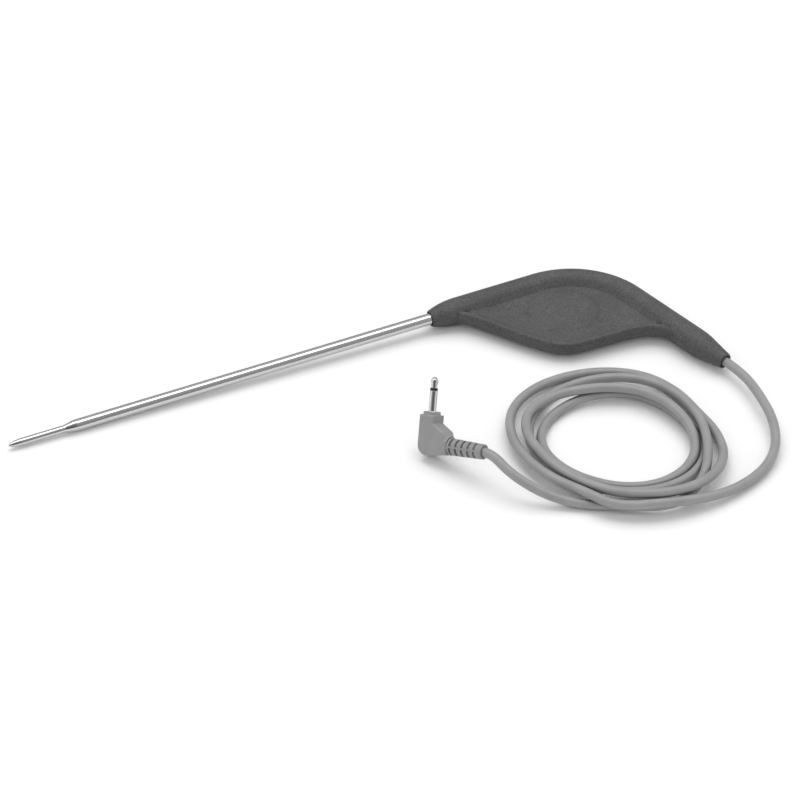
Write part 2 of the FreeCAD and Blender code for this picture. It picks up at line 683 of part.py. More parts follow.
def mount_report(plug_place):
    middle = HANDLE_PLACE.multVec(Vector(SHAFT_STEP / 2, 0, 0))
    axis = HANDLE_PLACE.Rotation.multVec(X_AXIS * -1)
    print("mount probe_shaft", [round(v / 1000, 6) for v in middle], [round(v, 6) for v in axis], SHAFT_R)
    middle = plug_place.multVec(Vector(0, 0, PIN_BASE + (PIN_SLEEVE + PIN_RING) / 2))
    axis = plug_place.Rotation.multVec(Z_AXIS)
    print("mount plug_pin", [round(v / 1000, 6) for v in middle], [round(v, 6) for v in axis], PIN_R)


def main():
    os.makedirs("parts", exist_ok=True)
    nodes = {name: placed(shape, HANDLE_PLACE) for name, shape in handle_nodes().items()}
    box = FreeCAD.BoundBox()
    for shape in nodes.values():
        box.add(shape.BoundBox)
    print("probe and handle box", box)
    drawn_plug = plug_nodes()
    plug_place = plug_placement(drawn_plug)
    nodes.update({name: placed(shape, plug_place) for name, shape in drawn_plug.items()})
    nodes.update(cord_nodes(plug_place))
    mount_report(plug_place)
    for name, shape in nodes.items():
        if not shape.isValid():
            print("not valid:", name)
        print(f"{name}: {len(shape.Solids)} solid(s), {shape.Volume:.2f} mm3")
        shape.exportStep(f"parts/{name}.step")


main()
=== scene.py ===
"""Meat thermometer: steel probe, leaf-shaped silicone handle, coiled cord, right-angle plug."""

import json
import math

import bmesh
import bpy
import numpy as np
from mathutils import Matrix, Vector


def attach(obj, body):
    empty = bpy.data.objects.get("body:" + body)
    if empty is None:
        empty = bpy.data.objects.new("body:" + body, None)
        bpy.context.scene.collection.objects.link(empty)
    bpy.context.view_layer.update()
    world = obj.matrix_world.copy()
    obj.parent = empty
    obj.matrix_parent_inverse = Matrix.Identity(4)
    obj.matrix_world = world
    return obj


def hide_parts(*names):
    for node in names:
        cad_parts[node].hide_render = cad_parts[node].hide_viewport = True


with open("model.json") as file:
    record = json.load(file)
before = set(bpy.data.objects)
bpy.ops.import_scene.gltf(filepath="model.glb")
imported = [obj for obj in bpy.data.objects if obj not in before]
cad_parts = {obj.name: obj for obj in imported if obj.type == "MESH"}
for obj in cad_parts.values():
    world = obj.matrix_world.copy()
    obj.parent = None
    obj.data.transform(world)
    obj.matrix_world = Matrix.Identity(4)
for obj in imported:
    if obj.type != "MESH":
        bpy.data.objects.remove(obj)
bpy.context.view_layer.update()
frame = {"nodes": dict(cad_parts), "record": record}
MM = 0.001

# --- camera -----------------------------------------------------------------------------------
LOOK_AT = Vector((0.00903, -0.00087, 0.0))
CAMERA_DISTANCE = 1.129
CAMERA_ELEVATION = math.radians(37.0)
CAMERA_BEARING = math.radians(-25.9)
CAMERA_LENS = 157.5

# --- probe and handle, millimetres, in the handle's own frame ------------------------------------
NOSE = Vector((34.9, 29.7, 4.35))
PROBE_TILT = math.radians(1.069)
HANDLE_ROLL = math.radians(1.336)
SHAFT_R, SHAFT_STEP, NECK_LENGTH = 2.0, -125.8, 3.4
TIP_R, POINT_END, POINT_LENGTH = 1.25, -148.7, 4.3
SEAT_R = 1.8
SPINE_CORNER, SPINE_TURN = 60.0, math.radians(75.8)
SPINE_BEND_R, SPINE_TAIL = 26.0, 65.2
NOSE_PROFILE = [(0.0, 2.45), (0.12, 2.66), (0.4, 2.86), (3.0, 3.65), (6.0, 4.25), (9.0, 4.5)]
TAIL_PROFILE = [(0.0, 2.3), (0.14, 2.5), (0.5, 2.68), (11.0, 4.4), (12.5, 4.5)]
NOSE_MOUTH_R, TAIL_MOUTH_R = 2.3, 1.95
NOSE_FLOOR_R, TAIL_FLOOR_R = 1.85, 1.5
MOUTH_DEPTH, MOUTH_EDGE = 0.9, 0.06
RIM_OUTLINE = [
    (3.5, -2.2), (9.6, -4.6), (14.8, -12.8), (24.0, -27.4), (31.6, -36.2), (45.0, -36.8),
    (60.0, -37.2), (66.9, -42.0), (67.4, -50.5), (71.6, -56.5),
]
WEB_HALF, RIM_HALF, RIM_WIDTH = 1.7, 2.3, 1.9
GROOVE_DEPTH, GROOVE_WIDTH = 0.32, 0.65
PILLOW_CENTRE, PILLOW_LONG, PILLOW_WIDE = (40.3, -17.7), 12.3, 11.6
PILLOW_RISE, PILLOW_ANGLE = 1.6, math.radians(-26.0)

# --- cord, millimetres ----------------------------------------------------------------------------
CORD_R = 1.55
CORD_SET_BACK, CORD_FIRST_RUN, BOOT_RUN = 0.85, 7.5, 3.0
CORD_LEAD = [
    (111.6, -53.3, 4.7), (109.0, -68.0, 3.9), (102.4, -80.2, 2.6),
    (91.0, -88.0, 2.0), (75.2, -92.0, 2.8), (58.0, -90.8, 5.4), (42.7, -84.9, 4.6),
]
CORD_TAIL = [(45.9, -82.2, 2.1), (34.5, -75.5, 1.6), (25.2, -68.4, 4.2), (18.3, -59.9, 8.4)]
COIL_MIDDLE = (60.5, -51.0)
# each turn: the distance from the middle and the height of the cord's line, every 45 degrees
# clockwise from the lower left
COIL_TURNS = [
    [(32.6, 5.1), (31.2, 4.3), (34.5, 3.6), (35.6, 1.8),
     (35.1, 1.6), (29.5, 2.2), (35.5, 3.5), (37.5, 7.2)],
    [(29.3, 5.3), (27.0, 6.2), (28.9, 5.3), (22.9, 5.5),
     (22.2, 5.3), (22.5, 5.3), (26.2, 2.8), (26.7, 2.3)],
    [(23.0, 1.6), (23.6, 2.5), (23.1, 1.6), (22.1, 2.4),
     (24.3, 2.0), (23.8, 2.0), (29.1, 1.6), (29.9, 2.8)],
    [(26.9, 2.7), (26.6, 2.8), (28.0, 2.3), (30.9, 1.6),
     (31.1, 3.3), (27.3, 5.2), (30.1, 4.3), (38.9, 2.7)],
]

# --- plug, millimetres, in its own frame: pin up +Z, boot along +X ---------------------------------
PLUG_BASE = Vector((7.8, -26.5, 11.97))
PLUG_BEARING, PLUG_LEAN = math.radians(-25.9), math.radians(-33.0)
PLUG_ROLL, PLUG_YAW = math.radians(4.5), math.radians(-37.0)
PIN_BASE, RING_BASE, TIP_BASE, PIN_TOP = 1.0, 7.7, 8.4, 12.0
PIN_R, NECK_R = 1.25, 0.98
BOOT_END = Vector((21.2, 0.0, -9.43))
BOOT_WAY = Vector((0.99985, 0.0, -0.01745))


def rotation(angle, axis):
    return Matrix.Rotation(angle, 4, axis)


HANDLE_PLACE = Matrix.Translation(NOSE) @ rotation(HANDLE_ROLL, "X") @ rotation(-PROBE_TILT, "Y")
PLUG_PLACE = (
    Matrix.Translation(PLUG_BASE) @ rotation(PLUG_BEARING, "Z") @ rotation(PLUG_LEAN, "X")
    @ rotation(PLUG_ROLL, "Y") @ rotation(PLUG_YAW, "Z")
)
AXIS_X_TO_Z = rotation(math.radians(90), "Y")     # turns a lathe's axis from +Z to +X


# --- materials --------------------------------------------------------------------------------------
class Nodes:
    """A material's nodes, made and linked one after another."""

    def __init__(self, name):
        self.material = bpy.data.materials.new(name)
        self.material.use_nodes = True
        self.tree = self.material.node_tree
        self.shader = self.tree.nodes["Principled BSDF"]
        self.place = self.tree.nodes.new("ShaderNodeTexCoord").outputs["Object"]

    def link(self, source, target):
        self.tree.links.new(source, target)

    def noise(self, scale, detail=4.0, stretch=None):
        node = self.tree.nodes.new("ShaderNodeTexNoise")
        node.inputs["Scale"].default_value = scale
        node.inputs["Detail"].default_value = detail
        source = self.place
        if stretch:
            mapping = self.tree.nodes.new("ShaderNodeMapping")
            mapping.inputs["Scale"].default_value = stretch
            self.link(self.place, mapping.inputs["Vector"])
            source = mapping.outputs["Vector"]
        self.link(source, node.inputs["Vector"])
        return node.outputs["Fac"]

    def ramp(self, source, low, high, start=0.3, end=0.7):
        """Colours or greys between low and high as the source goes from start to end."""
        node = self.tree.nodes.new("ShaderNodeValToRGB")
        for element, value, at in zip(node.color_ramp.elements, (low, high), (start, end)):
            element.position = at
            element.color = (*(value if isinstance(value, tuple) else grey(value)), 1.0)
        self.link(source, node.inputs["Fac"])
        return node.outputs["Color"]

    def multiply(self, first, second):
        node = self.tree.nodes.new("ShaderNodeMix")
        node.data_type, node.blend_type = "RGBA", "MULTIPLY"
        node.inputs["Factor"].default_value = 1.0
        self.link(first, node.inputs[6])
        self.link(second, node.inputs[7])
        return node.outputs[2]

    def bump(self, source, height, strength=1.0):
        node = self.tree.nodes.new("ShaderNodeBump")
        node.inputs["Strength"].default_value = strength
        node.inputs["Distance"].default_value = height
        self.link(source, node.inputs["Height"])
        if self.shader.inputs["Normal"].links:
            self.link(self.shader.inputs["Normal"].links[0].from_socket, node.inputs["Normal"])
        self.link(node.outputs["Normal"], self.shader.inputs["Normal"])

    def painted_crease_shade(self, distance, dark):
        """Painted shade: darkens the colour in creases and gaps by ambient occlusion, where shade falls.
        """
        node = self.tree.nodes.new("ShaderNodeAmbientOcclusion")
        node.samples = 8
        node.inputs["Distance"].default_value = distance
        return self.ramp(node.outputs["AO"], dark, 1.0, 0.2, 0.85)

    def set(self, **values):
        for name, value in values.items():
            socket = self.shader.inputs[name.replace("_", " ")]
            if isinstance(value, bpy.types.NodeSocket):
                self.link(value, socket)
            else:
                socket.default_value = value
        return self.material


def grey(value):
    return (value, value, value)


def silicone_material():
    """Matt moulded silicone with a fine pebbled grain."""
    n = Nodes("silicone_grain")
    tone = n.ramp(n.noise(90.0, 6.0), grey(0.082), grey(0.101))
    fine = n.ramp(n.noise(1500.0, 3.0), 0.62, 1.0, 0.35, 0.65)
    n.bump(n.noise(1500.0, 3.0), 0.00014, 0.7)
    n.bump(n.noise(420.0, 4.0), 0.00015, 0.3)
    # the base colour carries painted shade in creases and grooves, from ambient occlusion
    return n.set(
        Base_Color=n.multiply(n.multiply(tone, fine), n.painted_crease_shade(0.0009, 0.35)),
        Roughness=n.ramp(n.noise(700.0, 4.0), 0.6, 0.72), Specular_IOR_Level=0.35,
    )


def cord_material():
    """Silicone jacket, slightly satin, with faint drawing marks."""
    n = Nodes("cord_silicone")
    tone = n.ramp(n.noise(140.0, 5.0), grey(0.27), grey(0.31))
    n.bump(n.noise(900.0, 4.0), 0.00004, 0.35)
    # the base colour carries painted shade in the gaps between strands, from ambient occlusion
    return n.set(
        Base_Color=n.multiply(tone, n.painted_crease_shade(0.0018, 0.35)),
        Roughness=n.ramp(n.noise(500.0), 0.4, 0.5), Specular_IOR_Level=0.4,
    )


def plug_material():
    """Injection-moulded vinyl with a fine spark finish."""
    n = Nodes("plug_vinyl_moulded")
    tone = n.ramp(n.noise(160.0, 5.0), grey(0.25), grey(0.285))
    n.bump(n.noise(2600.0, 2.0), 0.00003, 0.4)
    # the base colour carries painted shade in recesses and creases, from ambient occlusion
    return n.set(
        Base_Color=n.multiply(tone, n.painted_crease_shade(0.0009, 0.45)),
        Roughness=n.ramp(n.noise(900.0), 0.42, 0.55), Specular_IOR_Level=0.45,
    )


def metal_material(name, colour, rough, stretch):
    """Drawn and polished metal: fine marks run along the piece."""
    n = Nodes(name)
    marks = n.noise(600.0, 5.0, stretch)
    n.bump(marks, 0.000006, 0.3)
    return n.set(
        Base_Color=n.ramp(marks, tuple(0.94 * c for c in colour), colour, 0.25, 0.75),
        Metallic=1.0, Roughness=n.ramp(n.noise(300.0, 3.0, stretch), rough, rough + 0.06),
    )


def plastic_material(name, colour, rough):
    """Moulded plastic, or any other plain material of the inner pieces."""
    n = Nodes(name)
    dark = tuple(0.85 * c for c in colour)
    n.bump(n.noise(700.0, 3.0), 0.00002, 0.3)
    return n.set(
        Base_Color=n.ramp(n.noise(700.0 / 3, 4.0), dark, colour),
        Roughness=n.ramp(n.noise(700.0, 2.0), rough, rough + 0.1),
    )


def floor_material():
    n = Nodes("studio_paper")
    n.bump(n.noise(60.0, 3.0), 0.0001, 0.05)
    return n.set(Base_Color=n.ramp(n.noise(8.0), grey(0.91), grey(0.93)), Roughness=0.9)


# --- mesh tools -------------------------------------------------------------------------------------
def to_object(mesh, name, material, node_slot, *replaced):
    """A finished piece, in the place of the CAD nodes that it replaces."""
    piece = bpy.data.objects.new(name, mesh)
    bpy.context.scene.collection.objects.link(piece)
    piece.data.materials.clear()
    piece.data.materials.append(material)
    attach(piece, "root")
    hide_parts(*replaced)
    return piece


def smooth(mesh):
    for polygon in mesh.polygons:
        polygon.use_smooth = True


def grid_mesh(name, rows, place):
    """A closed tube of quads through the rows of points, in millimetres, with both ends closed."""
    rows = np.asarray(rows)
    count, around, _ = rows.shape
    spot = np.c_[rows.reshape(-1, 3), np.ones(count * around)]
    points = (spot @ np.array(place).T)[:, :3] * MM
    i, j = np.meshgrid(np.arange(count - 1), np.arange(around), indexing="ij")
    k = (j + 1) % around
    row, next_row = i * around, (i + 1) * around
    quads = np.stack([row + j, row + k, next_row + k, next_row + j], -1)
    faces = quads.reshape(-1, 4).tolist()
    faces.append(list(range(around))[::-1])
    faces.append(list(range((count - 1) * around, count * around)))
    mesh = bpy.data.meshes.new(name)
    mesh.from_pydata(points.tolist(), [], faces)
    bm = bmesh.new()
    bm.from_mesh(mesh)
    bmesh.ops.recalc_face_normals(bm, faces=bm.faces)
    bm.to_mesh(mesh)
    bm.free()
    smooth(mesh)
    return mesh


def lathe(name, profile, place, around):
    """A turned solid: the profile is (distance along +Z, radius) pairs, in millimetres."""
    angles = np.linspace(0, 2 * math.pi, around, endpoint=False)
    ring = np.stack([np.cos(angles), np.sin(angles)], -1)
    rows = [np.c_[ring * radius, np.full(around, along)] for along, radius in profile]
    return grid_mesh(name, rows, place)


def eased(profile, radius, steps):
    """The profile with each corner rounded off."""
    points = [Vector(p) for p in profile]
    out = [points[0]]
    for before, corner, after in zip(points, points[1:], points[2:]):
        start = min(radius, (corner - before).length * 0.45)
        end = min(radius, (after - corner).length * 0.45)
        a = corner + (before - corner).normalized() * start
        b = corner + (after - corner).normalized() * end
        for step in range(steps + 1):
            t = step / steps
            out.append(a * (1 - t) ** 2 + corner * 2 * t * (1 - t) + b * t ** 2)
    out.append(points[-1])
    return [(p.x, p.y) for p in out]


def remoulded(node, name, voxel, rounds):
    """The CAD node's shape as a fine even mesh with eased edges."""
    copy = bpy.data.objects.new(name + "_shape", frame["nodes"][node].data.copy())
    bpy.context.scene.collection.objects.link(copy)
    remesh = copy.modifiers.new("remesh", "REMESH")
    remesh.mode, remesh.voxel_size = "VOXEL", voxel * MM
    ease = copy.modifiers.new("ease", "SMOOTH")
    ease.factor, ease.iterations = 0.5, rounds
    bpy.context.view_layer.update()
    evaluated = copy.evaluated_get(bpy.context.evaluated_depsgraph_get())
    mesh = bpy.data.meshes.new_from_object(evaluated)
    bpy.data.objects.remove(copy)
    mesh.name = name
    smooth(mesh)
    return mesh


# --- handle ------------------------------------------------------------------------------------------
TANGENT = SPINE_BEND_R * math.tan(SPINE_TURN / 2)
BEND_START = SPINE_CORNER - TANGENT
BEND_END = BEND_START + SPINE_BEND_R * SPINE_TURN
SPINE_LENGTH = BEND_END + SPINE_TAIL - TANGENT
TAIL_WAY = np.array([math.cos(SPINE_TURN), -math.sin(SPINE_TURN)])
TAIL_END = np.array([SPINE_CORNER, 0.0]) + TAIL_WAY * SPINE_TAIL


def spine_points(stations):
    """Points on the spine's line and the headings there."""
    angle = np.clip((stations - BEND_START) / SPINE_BEND_R, 0, SPINE_TURN)
    heading = np.stack([np.cos(angle), -np.sin(angle)], -1)
    bend = np.stack([np.sin(angle), np.cos(angle) - 1], -1) * SPINE_BEND_R
    before = np.minimum(stations, BEND_START)
    after = np.maximum(stations - BEND_END, 0)
    points = np.stack([before, np.zeros_like(before)], -1) + bend + heading * after[:, None]
    return points, heading


def spine_radius(stations):
    nose = np.interp(stations, *zip(*NOSE_PROFILE))
    tail = np.interp(SPINE_LENGTH - stations, *zip(*TAIL_PROFILE))
    return np.minimum(nose, tail)


EASE_LENGTH, CRISP_END = 1.6, 0.6


def soft_radius(stations):
    """The spine's radius with its tapers eased together, and its two ends left crisp."""
    spread = np.linspace(-EASE_LENGTH, EASE_LENGTH, 9)
    near_end = np.minimum(stations, SPINE_LENGTH - stations)
    reach = np.clip((near_end - CRISP_END) / EASE_LENGTH, 0, 1)
    return sum(spine_radius(stations + offset * reach) for offset in spread) / len(spread)


def drawn_curve(corners, steps):
    """The smooth curve that a polygon of corners controls."""
    p = np.array(corners)
    middles = (p[:-1] + p[1:]) / 2
    middles[0], middles[-1] = p[0], p[-1]
    t = np.linspace(0, 1, steps, endpoint=False)[:, None]
    pieces = [
        a * (1 - t) ** 2 + b * 2 * t * (1 - t) + c * t ** 2
        for a, b, c in zip(middles[:-1], p[1:-1], middles[1:])
    ]
    return np.vstack(pieces + [p[-1:]])


def nearest(points, line):
    """Each point's distance to the nearest stretch of a line, and that stretch's number."""
    shape = points.shape[:-1]
    flat = points.reshape(-1, 2)
    start, way = line[:-1], np.diff(line, axis=0)
    square = (way ** 2).sum(1)
    best = np.full(len(flat), 1e9)
    index = np.zeros(len(flat), int)
    for i, (a, w, s) in enumerate(zip(start, way, square)):
        t = np.clip(((flat - a) @ w) / s, 0, 1)
        d = np.hypot(*(flat - a - t[:, None] * w).T)
        closer = d < best
        best[closer], index[closer] = d[closer], i
    return best.reshape(shape), index.reshape(shape)


def step_between(value, start, end):
    """Goes smoothly from 0 at the start to 1 at the end."""
    t = np.clip((value - start) / (end - start), 0, 1)
    return t * t * (3 - 2 * t)


def blended_max(a, b, width):
    """The larger of two heights, with the corner between them filled."""
    h = np.clip(0.5 + 0.5 * (a - b) / width, 0, 1)
    return b + (a - b) * h + width * h * (1 - h)


PILLOW_SHOULDER = 0.3                # the share of its rise that the pillow has at its edge
PILLOW_FALL = (0.9, 1.02)            # where its edge falls, in shares of its half axes


def pillow_height(points):
    """How far the thumb pillow stands above the panel."""
    turn = np.array([
        [math.cos(PILLOW_ANGLE), -math.sin(PILLOW_ANGLE)],
        [math.sin(PILLOW_ANGLE), math.cos(PILLOW_ANGLE)],
    ])
    local = (points - PILLOW_CENTRE) @ turn
    reach = np.hypot(local[..., 0] / PILLOW_LONG, local[..., 1] / PILLOW_WIDE)
    crown = PILLOW_SHOULDER + (1 - PILLOW_SHOULDER) * (1 - np.clip(reach, 0, 1) ** 2)
    return PILLOW_RISE * crown * (1 - step_between(reach, *PILLOW_FALL))


EDGE_R, EDGE_POWER = 1.1, 2.6
LIP_START = 1.2                      # the rim rises out of the spine over this length
LIP_FOOT, LIP_TOP = RIM_WIDTH + 0.45, RIM_WIDTH - 0.1
GROOVE_MIDDLE, GROOVE_SPREAD = RIM_WIDTH + GROOVE_WIDTH * 0.7, GROOVE_WIDTH * 0.45
PANEL_START, PANEL_FULL = 1.5, 4.0   # the pillow may stand only this far in from the edge
SKIRT_SLOPE = math.radians(45.0)     # the spine runs down to the panel in a straight slope
SKIRT_START, SKIRT_FULL, SKIRT_RISE = RIM_WIDTH + 0.8, RIM_WIDTH + 3.0, 3.0
ARC_END = math.pi / 2 - SKIRT_SLOPE
SEAM_DEPTH, SEAM_WIDTH = 0.35, 0.3   # the fine line where the slope meets the panel
FILLET, THINNEST_FILLET = 0.3, 0.02


def leaf_height(points, inset):
    """Half the leaf's thickness, by the distance in from its edge."""
    lip = step_between(inset, LIP_FOOT, LIP_TOP)
    groove = np.exp(-((inset - GROOVE_MIDDLE) / GROOVE_SPREAD) ** 2)
    flat = WEB_HALF + pillow_height(points) * step_between(inset, PANEL_START, PANEL_FULL)
    top = flat + (RIM_HALF - flat) * lip - GROOVE_DEPTH * groove
    edge = 1 - np.clip(inset / EDGE_R, 0, 1)
    return top * (1 - edge ** EDGE_POWER) ** (1 / EDGE_POWER)


def leaf_match(stations, rim):
    """For each station, the far end of its row: on the rim, or on the spine's own side."""
    fine = np.linspace(0, SPINE_LENGTH, 960)
    line, _ = spine_points(fine)
    away, index = nearest(rim, line)
    outside = np.nonzero(away > soft_radius(fine[index]))[0]
    first, last = outside[0], outside[-1]
    start, end = fine[index[first]], fine[index[last]]
    part = rim[first:last + 1]
    run = np.r_[0, np.cumsum(np.hypot(*np.diff(part, axis=0).T))]
    share = np.clip((stations - start) / (end - start), 0, 1)
    far = np.stack([np.interp(share * run[-1], run, part[:, k]) for k in (0, 1)], -1)
    grow = step_between(np.minimum(stations - start, end - stations), 0.0, LIP_START)
    return far, grow


ARC_POINTS, PANEL_POINTS, STATION_COUNT = 34, 29, 300
FULL_SPAN, NEAR_END = 8.0, 3.1       # narrower rows are squeezed in proportion


def row_spacing():
    """Where the points of one row lie: on the spine's arc, beside it, and in from the edge."""
    arc = np.cos(np.linspace(math.pi, ARC_END, ARC_POINTS))
    near = np.linspace(0.15, 3.0, 24)
    edge_angle = np.linspace(0, math.pi / 2, 11)
    edge = EDGE_R * (1 - np.sin(edge_angle) ** (2 / EDGE_POWER))
    insets = np.r_[np.linspace(4.2, EDGE_R + 0.12, 24), edge]
    return arc, near, insets


def handle_stations():
    ends = np.array([0.0, 0.12, 0.4, 0.8])
    between = np.linspace(1.2, SPINE_LENGTH - 1.2, STATION_COUNT)
    return np.r_[ends, between, SPINE_LENGTH - ends[::-1]]


def handle_rows():
    """The handle's sections along its spine, each a ring of points over the top and back under."""
    stations = handle_stations()
    centre, heading = spine_points(stations)
    side = np.stack([heading[:, 1], -heading[:, 0]], -1)
    radius = soft_radius(stations)
    rim = drawn_curve(RIM_OUTLINE, 36)
    far, grow = leaf_match(stations, rim)
    far[grow == 0] = (centre + side * radius[:, None])[grow == 0]
    arc, near, insets = row_spacing()
    anchor = centre + side * radius[:, None] * arc[-1]
    span = np.hypot(*(far - anchor).T)
    reach = row_reach(span, near, insets)
    way = (far - anchor) / span[:, None]
    outer = centre[:, None] + side[:, None] * (arc * radius[:, None])[..., None]
    inner = anchor[:, None] + way[:, None] * reach[..., None]
    points = np.concatenate([outer, inner], 1)
    height = handle_height(points, radius, rim, grow, len(arc))
    height[:, 0] = height[:, -1] = 0
    top = np.concatenate([points, height[..., None]], -1)
    under = top[:, -2:0:-1] * (1, 1, -1)
    return np.concatenate([top, under], 1)


def row_reach(span, near, insets):
    """How far each row's points lie from the end of the spine's arc."""
    squeeze = np.minimum(1, span / FULL_SPAN)
    wide = np.maximum(span - insets[0] * squeeze, NEAR_END * squeeze)
    first = near * squeeze[:, None]
    shares = np.arange(1, PANEL_POINTS + 1) / PANEL_POINTS
    rest = first[:, -1:] + (wide[:, None] - first[:, -1:]) * shares
    last = span[:, None] - insets[1:] * squeeze[:, None]
    return np.concatenate([first, rest, last], 1)


def handle_height(points, radius, rim, grow, arc_count):
    """The height of every point: the spine's arc, its skirt, the seam and the leaf."""
    fine = np.linspace(0, SPINE_LENGTH, 480)
    line, _ = spine_points(fine)
    away, index = nearest(points[:, arc_count:], line)
    here = soft_radius(fine[index])
    rounds = np.sqrt(np.clip(here ** 2 - away ** 2, 0, None))
    inset, _ = nearest(points[:, arc_count:], rim)
    leaf = leaf_height(points[:, arc_count:], inset) * grow[:, None]
    skirt = (here - away * math.sin(SKIRT_SLOPE)) / math.cos(SKIRT_SLOPE)
    skirt = np.where(away > here * math.sin(SKIRT_SLOPE), skirt, 0)
    inner_part = step_between(inset, SKIRT_START, SKIRT_FULL)
    leaf = leaf - SEAM_DEPTH * np.exp(-((leaf - skirt) / SEAM_WIDTH) ** 2) * inner_part
    skirt = np.minimum(skirt, leaf + SKIRT_RISE * inner_part) * grow[:, None]
    rounds = np.maximum(rounds, skirt)
    arc = np.sin(np.linspace(math.pi, ARC_END, arc_count))
    spine = radius[:, None] * arc
    return np.concatenate([spine, joined_height(rounds, leaf)], 1)


def joined_height(rounds, leaf):
    both = np.minimum(rounds, leaf)
    return blended_max(rounds, leaf, FILLET * np.clip(both, THINNEST_FILLET, 1.0))


def mouth(row, centre, depth_way, steps):
    """Rows that close an end: in across the face, then down the recess."""
    out = []
    for scale, depth in steps:
        ring = centre + (row - centre) * scale
        ring[:, :2] += depth_way * depth
        out.append(ring)
    return out


def mouth_steps(face_r, mouth_r, floor_r):
    """The recess from its floor out to the end face: each ring's scale and depth."""
    return [
        (floor_r / face_r, MOUTH_DEPTH), (mouth_r / face_r * 0.97, MOUTH_DEPTH - 0.08),
        (mouth_r / face_r, 0.1), ((mouth_r + MOUTH_EDGE) / face_r, 0.0),
    ]


def build_handle():
    rows = handle_rows()
    nose_steps = mouth_steps(NOSE_PROFILE[0][1], NOSE_MOUTH_R, NOSE_FLOOR_R)
    tail_steps = mouth_steps(TAIL_PROFILE[0][1], TAIL_MOUTH_R, TAIL_FLOOR_R)[::-1]
    nose = mouth(rows[0], np.zeros(3), np.array([1.0, 0.0]), nose_steps)
    tail = mouth(rows[-1], np.r_[TAIL_END, 0.0], -TAIL_WAY, tail_steps)
    mesh = grid_mesh("handle_grip", np.stack(nose + list(rows) + tail), HANDLE_PLACE)
    to_object(mesh, "handle_grip", silicone_material(), "grip_silicone", "grip")


# --- probe -------------------------------------------------------------------------------------------
def build_probe():
    """The point, the tip tube, the swaged neck and the shaft, turned as one."""
    steel = metal_material("drawn_steel", (0.62, 0.62, 0.62), 0.1, (0.05, 1.0, 1.0))
    place = HANDLE_PLACE @ AXIS_X_TO_Z
    neck = SHAFT_STEP - NECK_LENGTH
    shoulder = POINT_END + POINT_LENGTH
    outline = [
        (POINT_END, 0.02), (POINT_END + 0.05, 0.22), (POINT_END + 0.4, 0.52),
        (POINT_END + 1.4, 0.88), (POINT_END + 2.8, 1.13), (shoulder, TIP_R),
        (neck - 0.2, TIP_R), (neck, TIP_R + 0.1), (neck + 1.2, TIP_R + 0.34),
        (SHAFT_STEP - 0.9, SHAFT_R - 0.12), (SHAFT_STEP, SHAFT_R),
        (0.55, SHAFT_R), (0.75, SEAT_R), (1.2, SEAT_R),
    ]
    mesh = lathe("probe_steel", eased(outline, 0.5, 5), place, 128)
    to_object(mesh, "probe_steel", steel, "steel", "probe_tube", "tip_tube", "probe_point")


# --- plug --------------------------------------------------------------------------------------------
ARM_START, ARM_END, ARM_R = 6.4, 8.3, 3.35     # the body's square arm turns round over this length


def round_arm(mesh):
    """Draws the arm's square section in to a round one where the strain relief starts."""
    spots = np.empty(len(mesh.vertices) * 3)
    mesh.vertices.foreach_get("co", spots)
    spots = np.c_[spots.reshape(-1, 3) / MM, np.ones(len(mesh.vertices))]
    own = spots @ np.array(PLUG_PLACE.inverted()).T
    share = step_between(own[:, 0], ARM_START, ARM_END)
    off = own[:, 1:3] - (0.0, BOOT_END.z)
    far = np.hypot(*off.T)
    keep = np.where(far > ARM_R, 1 - share * (1 - ARM_R / np.maximum(far, ARM_R)), 1.0)
    own[:, 1:3] = off * keep[:, None] + (0.0, BOOT_END.z)
    moved = (own @ np.array(PLUG_PLACE).T)[:, :3] * MM
    mesh.vertices.foreach_set("co", moved.ravel())
    mesh.update()


def build_plug():
    nickel = metal_material("nickel_plate", (0.6, 0.6, 0.59), 0.09, (1.0, 1.0, 0.05))
    vinyl = plug_material()
    black = plastic_material("ring_plastic", (0.012, 0.012, 0.013), 0.32)
    tip = [
        (TIP_BASE - 0.02, 0.4), (TIP_BASE, 0.98), (TIP_BASE + 0.1, 1.08), (TIP_BASE + 0.45, 1.02),
        (TIP_BASE + 0.8, NECK_R), (TIP_BASE + 1.15, NECK_R), (TIP_BASE + 2.0, 1.18),
        (TIP_BASE + 2.45, 1.18), (TIP_BASE + 2.9, 1.0), (PIN_TOP - 0.25, 0.6),
        (PIN_TOP - 0.06, 0.4), (PIN_TOP, 0.02),
    ]
    ring = [(RING_BASE, 0.5), (RING_BASE + 0.02, PIN_R), (TIP_BASE - 0.02, PIN_R), (TIP_BASE, 0.5)]
    sleeve = [
        (0.4, 0.9), (0.4, 1.42), (PIN_BASE + 0.02, 1.42), (PIN_BASE + 0.12, PIN_R),
        (RING_BASE - 0.05, PIN_R), (RING_BASE, 0.9),
    ]
    parts = []
    for name, outline, material, node_slot, replaced in (
        ("pin_tip", tip, nickel, "nickel", "plug_tip_contact"),
        ("pin_ring", ring, black, "black_plastic", "plug_insulator"),
        ("pin_sleeve", sleeve, nickel, "nickel", "plug_sleeve_contact"),
    ):
        mesh = lathe(name, eased(outline, 0.08, 3), PLUG_PLACE, 72)
        parts.append(to_object(mesh, name, material, node_slot, replaced))
    body = remoulded("plug_body", "plug_moulding", 0.12, 9)
    round_arm(body)
    parts.append(to_object(body, "plug_moulding", vinyl, "plug_vinyl", "plug_body"))
    boot = remoulded("plug_boot", "plug_strain_relief", 0.1, 2)
    parts.append(to_object(boot, "plug_strain_relief", vinyl, "plug_vinyl", "plug_boot"))
    return parts


# --- cord --------------------------------------------------------------------------------------------
POINTS_PER_TURN = 16
COIL_START_ANGLE = -135.0
SPLINE_PULL = 0.981      # the smooth line's distance from the middle, for points at 1
BEFORE_COIL, AFTER_COIL = (36.5, 4.8), (38.0, 1.6)


